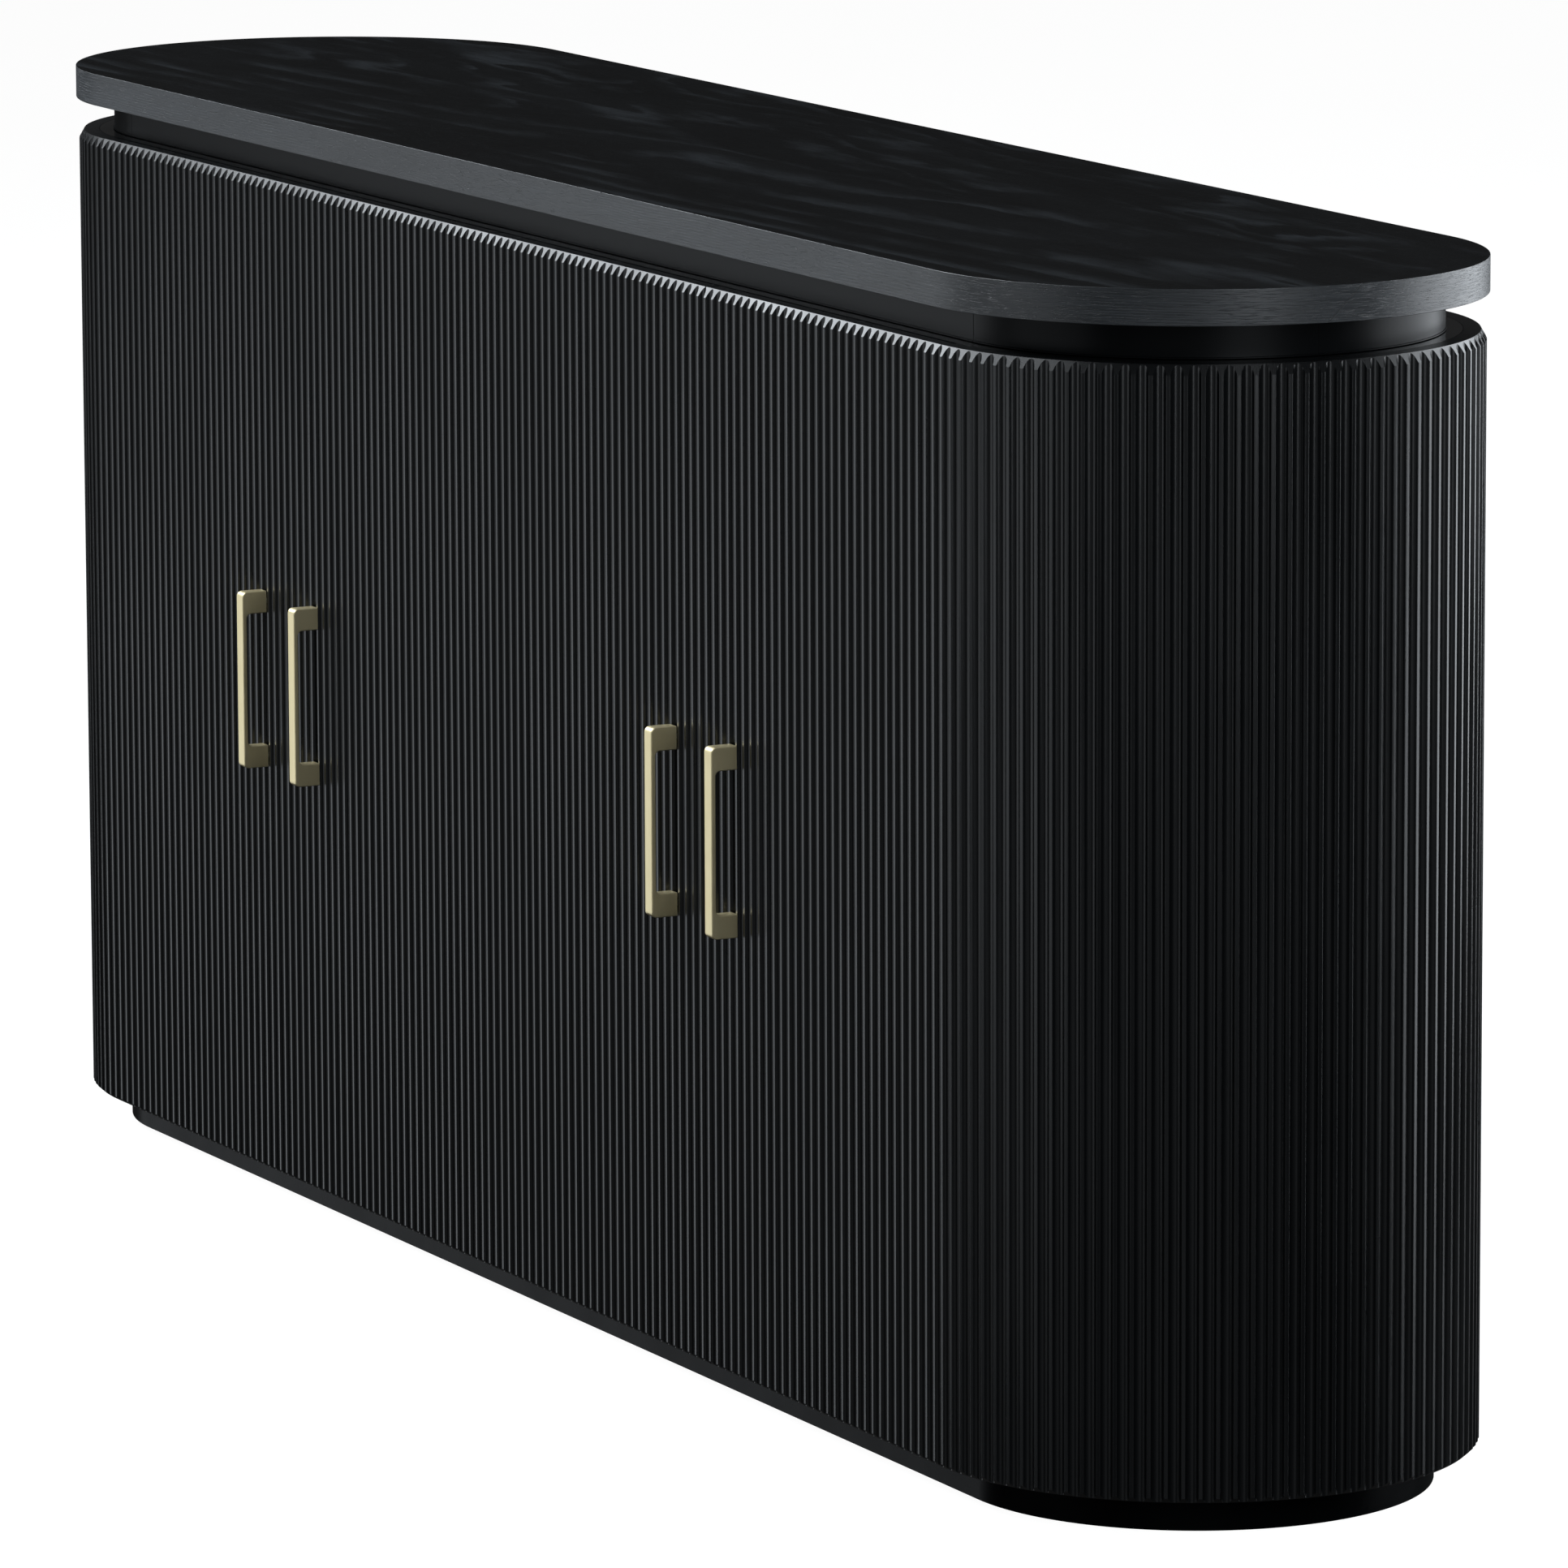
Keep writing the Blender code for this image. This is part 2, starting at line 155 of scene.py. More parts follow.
def lacquer(name, level, gloss, drawn_out, shine):
    """Sprayed black lacquer: a slightly uneven gloss over faint orange peel."""
    made = Finish(name, IOR=1.5, Specular_IOR_Level=shine)
    place = made.place()
    clouds = made.noise(place, (1.0, 1.0, drawn_out), 12.0, 4.0)
    peel = made.noise(place, (1.0, 1.0, drawn_out), 300.0, 2.0)
    colour = made.blend(clouds, grey(level * 0.8, COOL), grey(level * 1.2, COOL))
    made.set("Base Color", colour)
    made.set("Roughness", made.ramp(clouds, 0.3, 0.7, gloss * 0.85, gloss * 1.15))
    made.relief(peel, 0.00002, 0.1)
    return made


half_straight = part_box("plinth_end_right")[0].x
black_lacquer = lacquer("black_lacquer_satin", 0.0026, 0.28, 1.0, 0.03)

ROUND_STEPS = 96
STEEP = math.radians(60.0)
RAIL_EASING = 0.0006


def run_round(section, closed):
    """Runs a section, given as reaches and heights, round the whole stadium."""
    work = bmesh.new()
    corners = [work.verts.new((-half_straight, -reach, height)) for reach, height in section]
    last = [work.edges.new(pair) for pair in zip(corners, corners[1:])]
    if closed:
        last.append(work.edges.new((corners[-1], corners[0])))
    for centre in (half_straight, -half_straight):
        drawn = bmesh.ops.extrude_edge_only(work, edges=last)["geom"]
        moved = {item for item in drawn if isinstance(item, bmesh.types.BMVert)}
        bmesh.ops.translate(work, verts=list(moved), vec=(2 * centre, 0.0, 0.0))
        last = [
            item
            for item in drawn
            if isinstance(item, bmesh.types.BMEdge) and moved.issuperset(item.verts)
        ]
        swept = bmesh.ops.spin(
            work,
            geom=list(moved) + last,
            cent=(centre, 0.0, 0.0),
            axis=(0.0, 0.0, 1.0),
            angle=math.pi,
            steps=ROUND_STEPS,
        )["geom_last"]
        last = [item for item in swept if isinstance(item, bmesh.types.BMEdge)]
    bmesh.ops.remove_doubles(work, verts=work.verts, dist=1e-5)
    if not closed:
        rims = [edge for edge in work.edges if edge.is_boundary]
        bmesh.ops.holes_fill(work, edges=rims, sides=0)
    bmesh.ops.recalc_face_normals(work, faces=work.faces)
    return work


def round_off(work, geom, radius, segments, affect="EDGES"):
    """Rounds chosen edges, or the chosen corners of a flat outline."""
    bmesh.ops.bevel(
        work,
        geom=geom,
        offset=radius,
        offset_type="OFFSET",
        affect=affect,
        segments=segments,
        profile=0.5,
        material=-1,
        clamp_overlap=True,
    )


def ease(work, radius, segments=2, chosen=None):
    """Rounds the edges where two faces meet at a steep angle."""
    edges = [
        edge
        for edge in (chosen or work.edges)
        if len(edge.link_faces) == 2 and edge.calc_face_angle() > STEEP
    ]
    round_off(work, edges, radius, segments)


def saw(work, point, normal):
    """Cuts off what lies beyond a plane and closes the cut."""
    cut = bmesh.ops.bisect_plane(
        work,
        geom=work.verts[:] + work.edges[:] + work.faces[:],
        plane_co=point,
        plane_no=normal,
        dist=1e-7,
        clear_outer=True,
    )["geom_cut"]
    bmesh.ops.contextual_create(
        work, geom=[item for item in cut if isinstance(item, bmesh.types.BMEdge)]
    )


def fit_piece(name, work, finish, body, stands_for=(), smooth_below=24.0):
    """Turns finished work into a piece on a body, in the place of its CAD nodes."""
    mesh = bpy.data.meshes.new(name)
    work.to_mesh(mesh)
    work.free()
    mesh.materials.append(finish.material)
    mesh.shade_smooth()
    mesh.set_sharp_from_angle(angle=math.radians(smooth_below))
    piece = bpy.data.objects.new(name, mesh)
    bpy.context.scene.collection.objects.link(piece)
    shading = piece.modifiers.new("flat_faces_stay_flat", "WEIGHTED_NORMAL")
    shading.keep_sharp = True
    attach(piece, body)
    if stands_for:
        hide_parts(*stands_for)
    return piece


plinth_low, plinth_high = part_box("plinth_end_right")
plinth_inner = -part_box("plinth_front")[1].y
plinth_reach = plinth_high.y

ring = run_round(
    [
        (plinth_reach, plinth_low.z),
        (plinth_reach, plinth_high.z),
        (plinth_inner, plinth_high.z),
        (plinth_inner, plinth_low.z),
    ],
    True,
)
ease(ring, RAIL_EASING)
fit_piece(
    "plinth_ring",
    ring,
    black_lacquer,
    "carcass",
    ("plinth_front", "plinth_back", "plinth_end_left", "plinth_end_right"),
)


# ---- Inside boards ----------------------------------------------------------------------------
# Case bottom, two side panels, the centre divider, two shelves and the plinth's cross rails.
# Melamine-faced board in near black with a fine pressed grain; the shelves' edges are banded.


def melamine(name, level, gloss, along):
    """Pressed wood pore, long in one direction, under a dull dark film."""
    made = Finish(name, IOR=1.46, Specular_IOR_Level=0.35)
    place = made.place()
    stretch = {"X": (1.0, 26.0, 26.0), "Z": (26.0, 26.0, 1.0)}[along]
    streaks = made.noise(place, stretch, 9.0, 5.0, 0.65)
    pores = made.noise(place, stretch, 60.0, 2.0)
    tone = made.ramp(streaks, 0.32, 0.68)
    made.set("Base Color", made.blend(tone, grey(level * 0.72), grey(level * 1.35)))
    made.set("Roughness", made.ramp(pores, 0.3, 0.7, gloss * 0.9, gloss * 1.1))
    made.relief(made.ramp(pores, 0.38, 0.55), 0.00008, 0.5)
    return made


BOARD_EASING = 0.0008
INSIDE_GREY = 0.030
INSIDE_GLOSS = 0.52
inside_upright = melamine("inside_black_upright", INSIDE_GREY, INSIDE_GLOSS, "Z")
inside_level = melamine("inside_black_level", INSIDE_GREY, INSIDE_GLOSS, "X")

for node in ("side_panel_left", "side_panel_right", "centre_divider"):
    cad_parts[node].material_slots[0].material = inside_upright.material
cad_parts["case_bottom"].material_slots[0].material = inside_level.material


def block(size, middle):
    work = bmesh.new()
    bmesh.ops.create_cube(work, size=1.0)
    bmesh.ops.scale(work, vec=size, verts=work.verts)
    bmesh.ops.translate(work, vec=middle, verts=work.verts)
    return work


def eased_board(node, radius):
    """A board of a CAD node's size with its edges eased."""
    low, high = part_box(node)
    work = block(high - low, (low + high) / 2)
    ease(work, radius)
    return work


for node in ("shelf_left", "shelf_right"):
    fit_piece(
        f"{node}_board",
        eased_board(node, BOARD_EASING),
        inside_level,
        "carcass",
        (node,),
    )
for node in ("plinth_cross_left", "plinth_cross_centre", "plinth_cross_right"):
    fit_piece(
        f"{node}_rail",
        eased_board(node, RAIL_EASING),
        inside_level,
        "carcass",
        (node,),
    )


# ---- Shelf pins -------------------------------------------------------------------------------
# Nickel-plated steel pins, pressed into holes in the uprights: a round tip, a thin collar
# against the board, and a plain end that the shelf rests on.

nickel = Finish("nickel_plate", Metallic=1.0, IOR=2.0)
nickel_place = nickel.place()
nickel_clouds = nickel.noise(nickel_place, (1.0, 1.0, 1.0), 180.0, 3.0)
nickel_drag = nickel.noise(nickel_place, (1.0, 14.0, 1.0), 700.0, 2.0)
nickel.set(
    "Base Color",
    nickel.blend(nickel_clouds, (0.46, 0.455, 0.44, 1.0), (0.62, 0.61, 0.585, 1.0)),
)
nickel.set("Roughness", nickel.ramp(nickel_drag, 0.3, 0.7, 0.22, 0.36))
nickel.relief(nickel_drag, 0.00003, 0.4)


def turned(outline, axis, place, steps=20):
    """A turned piece from an outline of reaches from the axis and distances along it."""
    work = bmesh.new()
    points = [work.verts.new((reach, 0.0, along)) for reach, along in outline]
    edges = [work.edges.new(pair) for pair in zip(points, points[1:])]
    bmesh.ops.spin(
        work,
        geom=points + edges,
        cent=(0.0, 0.0, 0.0),
        axis=(0.0, 0.0, 1.0),
        angle=2 * math.pi,
        steps=steps,
        use_merge=True,
    )
    bmesh.ops.remove_doubles(work, verts=work.verts, dist=1e-6)
    bmesh.ops.recalc_face_normals(work, faces=work.faces)
    turn = Vector((0.0, 0.0, 1.0)).rotation_difference(Vector(axis)).to_matrix()
    bmesh.ops.rotate(work, cent=(0.0, 0.0, 0.0), matrix=turn, verts=work.verts)
    bmesh.ops.translate(work, vec=place, verts=work.verts)
    return work


def gather(target, extra):
    """Adds one piece of work to another."""
    loose = bpy.data.meshes.new("loose")
    extra.to_mesh(loose)
    extra.free()
    target.from_mesh(loose)
    bpy.data.meshes.remove(loose)


PIN_COLLAR = 0.0034
PIN_COLLAR_THICK = 0.0007
PIN_BURIED = 0.008
PIN_ROUNDING = 0.4
for half in ("left", "right"):
    for wall in ("inner", "outer"):
        for end in ("front", "rear"):
            node = f"shelf_pin_{half}_{wall}_{end}"
            low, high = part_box(node)
            radius = (high.z - low.z) / 2
            into_right = (half == "right") == (wall == "outer")
            length = high.x - low.x
            collar = length - PIN_BURIED
            rounding = radius * PIN_ROUNDING
            pin = turned(
                [
                    (0.0, 0.0),
                    (radius - rounding, 0.0),
                    (radius, rounding),
                    (radius, collar - PIN_COLLAR_THICK),
                    (PIN_COLLAR, collar - PIN_COLLAR_THICK),
                    (PIN_COLLAR, collar),
                    (radius, collar),
                    (radius, length - rounding),
                    (radius - rounding, length),
                    (0.0, length),
                ],
                (1.0 if into_right else -1.0, 0.0, 0.0),
                (low.x if into_right else high.x, (low.y + high.y) / 2, (low.z + high.z) / 2),
            )
            fit_piece(node.replace("pin", "peg"), pin, nickel, "carcass", (node,))


# ---- Back panel -------------------------------------------------------------------------------
# One thin hardboard sheet, dark on both faces, laid on the case's back edges between the round
# ends and held by a row of small pan-head screws along each upright and board.

back_low, back_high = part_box("back_panel")
hardboard = Finish("back_board_dark", IOR=1.45, Specular_IOR_Level=0.3)
hardboard_place = hardboard.place()
fibres = hardboard.noise(hardboard_place, (1.0, 1.0, 1.0), 260.0, 5.0, 0.7)
mottle = hardboard.noise(hardboard_place, (1.0, 1.0, 1.0), 14.0, 4.0)
hardboard.set(
    "Base Color",
    hardboard.blend(mottle * 0.5 + fibres * 0.5, grey(0.013), grey(0.030)),
)
hardboard.set("Roughness", hardboard.ramp(fibres, 0.3, 0.7, 0.58, 0.74))
hardboard.relief(fibres, 0.0001, 0.4)
fit_piece(
    "back_sheet",
    eased_board("back_panel", BOARD_EASING),
    hardboard,
    "carcass",
    ("back_panel",),
)


PAN_STEPS = 16


def pan_head(place, axis, radius, height):
    """A low domed screw head with a shallow socket in its middle."""
    return turned(
        [
            (0.0, -height * 0.5),
            (radius, -height * 0.5),
            (radius, height * 0.25),
            (radius * 0.86, height * 0.68),
            (radius * 0.46, height),
            (radius * 0.40, height * 0.35),
            (0.0, height * 0.25),
        ],
        axis,
        place,
        PAN_STEPS,
    )


SCREW_INSET = 0.009
SCREWS_ALONG = 13
SCREWS_UP = 5
BACK_SCREW_RADIUS = 0.0032
BACK_SCREW_HEIGHT = 0.0014
left_row = back_low.x + SCREW_INSET
right_row = back_high.x - SCREW_INSET
screw_places = []
for row in range(SCREWS_ALONG):
    x = left_row + (right_row - left_row) * row / (SCREWS_ALONG - 1)
    screw_places.append((x, back_high.y, back_low.z + SCREW_INSET))
    screw_places.append((x, back_high.y, back_high.z - SCREW_INSET))
for row in range(SCREWS_UP):
    z = back_low.z + (back_high.z - back_low.z) * (row + 1) / (SCREWS_UP + 1)
    for x in (left_row, 0.0, right_row):
        screw_places.append((x, back_high.y, z))
screws = bmesh.new()
for place in screw_places:
    gather(screws, pan_head(place, (0.0, 1.0, 0.0), BACK_SCREW_RADIUS, BACK_SCREW_HEIGHT))
fit_piece("back_sheet_screws", screws, nickel, "carcass")


# ---- Round ends -------------------------------------------------------------------------------
# Half-round shells of moulded board with round flutes cut down the outside and flat lands
# between them. The lands' arrises are softened, and both ends of the shell are chamfered to the
# flutes' depth. Sprayed with the same black lacquer as the doors.

FLUTE_LAND = 0.0030
FLUTE_DEPTH = 0.0037
LAND_SOFTENING = 0.0005
CHAMFER_TOP = 0.0070
CHAMFER_FOOT = 0.0035
CHAMFER_DEPTH = FLUTE_DEPTH + 0.0003
GROOVE_STEPS = 9
FLUTES_TO_AN_END = 53
SHELL_CLEARANCE = 0.0003

fluted_lacquer = lacquer("fluted_black_lacquer", 0.0050, 0.28, 0.25, 0.42)


def groove_of(pitch):
    """A groove's radius and half the angle that its arc covers."""
    half_width = (pitch - FLUTE_LAND) / 2
    radius = (half_width**2 + FLUTE_DEPTH**2) / (2 * FLUTE_DEPTH)
    return radius, math.asin(half_width / radius)


def half_groove(work, bottom, outward, swing, radius):
    """One wall of a groove: its bottom point turned about the groove's centre up to the land."""
    start = work.verts.new(bottom)
    drawn = bmesh.ops.spin(
        work,
        geom=[start],
        cent=Vector(bottom) + Vector(outward) * radius,
        axis=(0.0, 0.0, 1.0),
        angle=swing,
        steps=GROOVE_STEPS,
    )["geom_last"]
    land_end = [item for item in drawn if isinstance(item, bmesh.types.BMVert)][0]
    return start, land_end


def soften(work, corners):
    round_off(work, corners, LAND_SOFTENING, 4, "VERTICES")


def draw_out(work, reach):
    """Extrudes a flat outline into a solid."""
    drawn = bmesh.ops.extrude_face_region(work, geom=work.faces[:], use_keep_orig=True)["geom"]
    moved = [item for item in drawn if isinstance(item, bmesh.types.BMVert)]
    bmesh.ops.translate(work, verts=moved, vec=reach)
    bmesh.ops.recalc_face_normals(work, faces=work.faces)


def chamfer_ends(work, face_point, outward, foot, top):
    """Chamfers both ends of a fluted face down to the flutes' depth."""
    for edge_height, tall, up in ((top, CHAMFER_TOP, 1.0), (foot, CHAMFER_FOOT, -1.0)):
        point = Vector((face_point[0], face_point[1], edge_height - up * tall))
        saw(work, point, outward * tall + Vector((0.0, 0.0, up * CHAMFER_DEPTH)))


for side, end in ((-1, "left"), (1, "right")):
    node = f"round_end_{end}"
    low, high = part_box(node)
    shell_reach = high.y
    shell_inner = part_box("case_top")[1].y + SHELL_CLEARANCE
    turn = math.pi / FLUTES_TO_AN_END
    groove_radius, groove_swing = groove_of(shell_reach * turn)
    shell = bmesh.new()
    walls = []
    for way in (-1, 1):
        outward = Vector((math.cos(way * turn / 2), math.sin(way * turn / 2), 0.0))
        bottom = outward * (shell_reach - FLUTE_DEPTH) + Vector((0.0, 0.0, low.z))
        start, land_end = half_groove(shell, bottom, outward, way * groove_swing, groove_radius)
        inner = shell.verts.new(outward * shell_inner + Vector((0.0, 0.0, low.z)))
        shell.edges.new((start, inner))
        walls.append((land_end, inner))
    shell.edges.new((walls[0][0], walls[1][0]))
    shell.edges.new((walls[0][1], walls[1][1]))
    bmesh.ops.contextual_create(shell, geom=shell.edges[:])
    soften(shell, [walls[0][0], walls[1][0]])
    draw_out(shell, (0.0, 0.0, high.z - low.z))
    chamfer_ends(shell, (shell_reach, 0.0), Vector((1.0, 0.0, 0.0)), low.z, high.z)
    joints = []
    for face in shell.faces:
        middle = face.calc_center_median()
        swung = abs(math.atan2(middle.y, middle.x))
        if abs(face.normal.z) < 0.01 and abs(swung - turn / 2) < turn / 200:
            joints.append(face)
    bmesh.ops.delete(shell, geom=joints, context="FACES_ONLY")
    bmesh.ops.rotate(
        shell,
        cent=(0.0, 0.0, 0.0),
        matrix=Matrix.Rotation(-math.pi / 2 + turn / 2, 3, "Z"),
        verts=shell.verts,
    )
    bmesh.ops.spin(
        shell,
        geom=shell.verts[:] + shell.edges[:] + shell.faces[:],
        cent=(0.0, 0.0, 0.0),
        axis=(0.0, 0.0, 1.0),
        angle=turn * (FLUTES_TO_AN_END - 1),
        steps=FLUTES_TO_AN_END - 1,
        use_duplicate=True,
    )
    bmesh.ops.remove_doubles(shell, verts=shell.verts, dist=2e-5)
    bmesh.ops.holes_fill(shell, edges=[edge for edge in shell.edges if edge.is_boundary], sides=0)
    if side < 0:
        bmesh.ops.rotate(
            shell, cent=(0.0, 0.0, 0.0), matrix=Matrix.Rotation(math.pi, 3, "Z"), verts=shell.verts
        )
    bmesh.ops.translate(shell, vec=(side * half_straight, 0.0, 0.0), verts=shell.verts)
    bmesh.ops.recalc_face_normals(shell, faces=shell.faces)
    fit_piece(f"fluted_shell_{end}", shell, fluted_lacquer, "carcass", (node,))


# ---- Doors ------------------------------------------------------------------------------------
# Four alike, from board 14.5 mm thick: flutes cut down the front with half a flute at each edge,
# chamfered at the top and the foot, and a plain back with its edges eased. The backs are bored
# for two hinge cups and two handle screws.

DOOR_GAP = 0.002
FLUTES_TO_A_DOOR = 31
DOOR_BACK_EASING = 0.0006
SCREW_BORE = 0.0023
THROUGH = 0.04
CUP_BORE = 0.0133
CUP_BORE_DEPTH = 0.0088
door_pitch = half_straight / 2
flute_pitch = door_pitch / FLUTES_TO_A_DOOR
front_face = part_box("door_1")[0].y
door_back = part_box("door_1")[1].y
door_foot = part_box("door_1")[0].z
door_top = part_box("door_1")[1].z

groove_radius, groove_swing = groove_of(flute_pitch)
plain_door = bmesh.new()
outward = Vector((0.0, -1.0, 0.0))
wall_ends = []
for x, way in ((0.0, -1), (flute_pitch, 1)):
    bottom = (x, front_face + FLUTE_DEPTH, door_foot)
    wall_ends.append(half_groove(plain_door, bottom, outward, way * groove_swing, groove_radius)[1])
plain_door.edges.new(wall_ends)
bmesh.ops.spin(
    plain_door,
    geom=plain_door.verts[:] + plain_door.edges[:],
    cent=(0.0, 0.0, 0.0),
    axis=(0.0, 0.0, 1.0),
    dvec=(flute_pitch, 0.0, 0.0),
    angle=0.0,
    steps=FLUTES_TO_A_DOOR - 1,
    use_duplicate=True,
)
bmesh.ops.remove_doubles(plain_door, verts=plain_door.verts, dist=1e-5)
ends = sorted(
    (vert for vert in plain_door.verts if len(vert.link_edges) == 1), key=lambda vert: vert.co.x
)
back_corners = [plain_door.verts.new((vert.co.x, door_back, door_foot)) for vert in ends]
for front, back in zip(ends, back_corners):
    plain_door.edges.new((front, back))
plain_door.edges.new(back_corners)
bmesh.ops.contextual_create(plain_door, geom=plain_door.edges[:])
soften(plain_door, [vert for vert in plain_door.verts if vert.co.y < front_face + 1e-5])
draw_out(plain_door, (0.0, 0.0, door_top - door_foot))
saw(plain_door, (DOOR_GAP / 2, 0.0, 0.0), (-1.0, 0.0, 0.0))
saw(plain_door, (door_pitch - DOOR_GAP / 2, 0.0, 0.0), (1.0, 0.0, 0.0))
chamfer_ends(plain_door, (0.0, front_face), outward, door_foot, door_top)
back_edges = [
    edge
    for edge in plain_door.edges
    if min(vert.co.y for vert in edge.verts) > door_back - 1e-5
]
ease(plain_door, DOOR_BACK_EASING, chosen=back_edges)
bmesh.ops.recalc_face_normals(plain_door, faces=plain_door.faces)
door_mesh = bpy.data.meshes.new("plain_door")
plain_door.to_mesh(door_mesh)
plain_door.free()


def bored(mesh, holes):
    """A copy of a mesh with round holes along Y, each given by its middle, radius and length."""
    drills = bmesh.new()
    for middle, radius, length in holes:
        drill = bmesh.ops.create_cone(
            drills, cap_ends=True, segments=32, radius1=radius, radius2=radius, depth=length
        )["verts"]
        bmesh.ops.rotate(
            drills, cent=(0, 0, 0), matrix=Matrix.Rotation(math.pi / 2, 3, "X"), verts=drill
        )
        bmesh.ops.translate(drills, vec=middle, verts=drill)
    drill_mesh = bpy.data.meshes.new("drills")
    drills.to_mesh(drill_mesh)
    drills.free()
    blank = bpy.data.objects.new("blank", mesh)
    tool = bpy.data.objects.new("drills", drill_mesh)
    for thing in (blank, tool):
        bpy.context.scene.collection.objects.link(thing)
    cut = blank.modifiers.new("bores", "BOOLEAN")
    cut.operation = "DIFFERENCE"
    cut.solver = "MANIFOLD"
    cut.object = tool
    bpy.context.view_layer.update()
    seen = blank.evaluated_get(bpy.context.evaluated_depsgraph_get())
    result = bmesh.new()
    result.from_mesh(seen.data)
    bpy.data.objects.remove(blank)
    bpy.data.objects.remove(tool)
    bpy.data.meshes.remove(drill_mesh)
    return result


for number in (1, 2, 3, 4):
    seam = -half_straight + (number - 1) * door_pitch
    mesh = door_mesh.copy()
    mesh.transform(Matrix.Translation((seam, 0.0, 0.0)))
    holes = []
    for level in ("lower", "upper"):
        low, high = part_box(f"handle_screw_{number}_{level}")
        middle = (low + high) / 2
        half_way = (front_face + door_back) / 2
        holes.append(((middle.x, half_way, middle.z), SCREW_BORE, THROUGH))
        low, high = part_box(f"hinge_cup_{number}_{level}")
        middle = (low + high) / 2
        holes.append(((middle.x, door_back, middle.z), CUP_BORE, 2 * CUP_BORE_DEPTH))
    fit_piece(
        f"fluted_door_{number}",
        bored(mesh, holes),
        fluted_lacquer,
        f"door_{number}",
        (f"door_{number}",),
    )
    bpy.data.meshes.remove(mesh)
bpy.data.meshes.remove(door_mesh)


# ---- Handles ----------------------------------------------------------------------------------
# Bar pulls of flat aluminium, bent to two feet with a rounded corner outside and a fillet
# inside, brushed along their length and anodised in champagne.

HANDLE_POST = 0.017
HANDLE_BAR = 0.0036
HANDLE_CORNER = 0.0042
HANDLE_FILLET = 0.0035
HANDLE_EASING = 0.0008

champagne = Finish("champagne_anodised", Metallic=0.86, IOR=1.6)
champagne_place = champagne.place()
brushing = champagne.noise(champagne_place, (60.0, 60.0, 1.0), 60.0, 3.0, 0.6)
champagne_clouds = champagne.noise(champagne_place, (1.0, 1.0, 1.0), 40.0, 3.0)
champagne.set(
    "Base Color",
    champagne.blend(champagne_clouds, (0.90, 0.77, 0.44, 1.0), (0.95, 0.83, 0.52, 1.0)),
)
champagne.set("Roughness", champagne.ramp(brushing, 0.3, 0.7, 0.34, 0.44))
champagne.relief(brushing, 0.00002, 0.15)

for number in (1, 2, 3, 4):
    node = f"handle_{number}"
    low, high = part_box(node)
    pull = bmesh.new()
    inner_reach = low.y + HANDLE_BAR
    outline = [
        (high.y, low.z),
        (low.y, low.z),
        (low.y, high.z),
        (high.y, high.z),
        (high.y, high.z - HANDLE_POST),
        (inner_reach, high.z - HANDLE_POST),
        (inner_reach, low.z + HANDLE_POST),
        (high.y, low.z + HANDLE_POST),
    ]
    points = [pull.verts.new((low.x, y, z)) for y, z in outline]
    pull.faces.new(points)
    for corners, radius in (
        ((points[1], points[2]), HANDLE_CORNER),
        ((points[5], points[6]), HANDLE_FILLET),
    ):
        round_off(pull, list(corners), radius, 8, "VERTICES")
    draw_out(pull, (high.x - low.x, 0.0, 0.0))
    long_edges = [
        edge
        for edge in pull.edges
        if abs(edge.verts[0].co.x - edge.verts[1].co.x) < 1e-6
        and min(vert.co.y for vert in edge.verts) < high.y - 1e-5
    ]
    ease(pull, HANDLE_EASING, segments=3, chosen=long_edges)
    fit_piece(f"pull_{number}", pull, champagne, f"door_{number}", (node,), 30.0)


# ---- Handle screws ----------------------------------------------------------------------------
# Two machine screws to a handle, put in from behind the door: a low round head on the door's
# back and a shank through it into the handle's foot.

SHANK = 0.002
SHANK_TIP = 0.0008
HEAD_THICK = 0.0022
HEAD_EDGE = 0.0013
HEAD_CROWN = 0.0005
SOCKET_WALL = 0.0012
SOCKET_DEPTH = 0.0014
HEAD_STEPS = 24

for number in (1, 2, 3, 4):
    for level in ("lower", "upper"):
        node = f"handle_screw_{number}_{level}"
        low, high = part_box(node)
        head = (high.x - low.x) / 2
        length = high.y - low.y
        screw = turned(
            [
                (0.0, 0.0),
                (SHANK * 0.7, 0.0),
                (SHANK, SHANK_TIP),
                (SHANK, length - HEAD_THICK),
                (head, length - HEAD_THICK),
                (head, length - HEAD_EDGE),
                (head * 0.86, length - HEAD_CROWN),
                (head * 0.60, length),
                (head * 0.42, length),
                (head * 0.38, length - SOCKET_WALL),
                (0.0, length - SOCKET_DEPTH),
            ],
            (0.0, 1.0, 0.0),
            ((low.x + high.x) / 2, low.y, (low.z + high.z) / 2),
            HEAD_STEPS,
        )
        bolt = f"handle_bolt_{number}_{level}"
        fit_piece(bolt, screw, nickel, f"door_{number}", (node,))


# ---- Hinges -----------------------------------------------------------------------------------
# Concealed hinges of pressed, nickel-plated steel: a cup sunk in the door with a flange held by
# two screws, and an arm clipped to a mounting plate that is screwed to the upright.

CUP_WALL = 0.0010
CUP_CORNER = 0.0015
CUP_STEPS = 32
FLANGE_THICK = 0.0012
FLANGE_WIDE = 0.018
FLANGE_START = 0.80
FLANGE_CORNER = 0.006
FLANGE_SCREW_OUT = 0.0175
FLANGE_SCREW = (0.0033, 0.0012)
PLATE_THICK = 0.0025
PLATE_LONG = 0.034
PLATE_SET_BACK = 0.020
PLATE_CORNER = 0.005
PLATE_SCREW_OUT = 0.016
PLATE_SCREW = (0.0034, 0.0012)
ARM_OFF_WALL = 0.0012
ARM_WIDE = 0.014
ARM_EASING = 0.0016
ARM_SCREW = (0.0036, 0.0010)
ARM_SCREWS_ALONG = (0.30, 0.72)

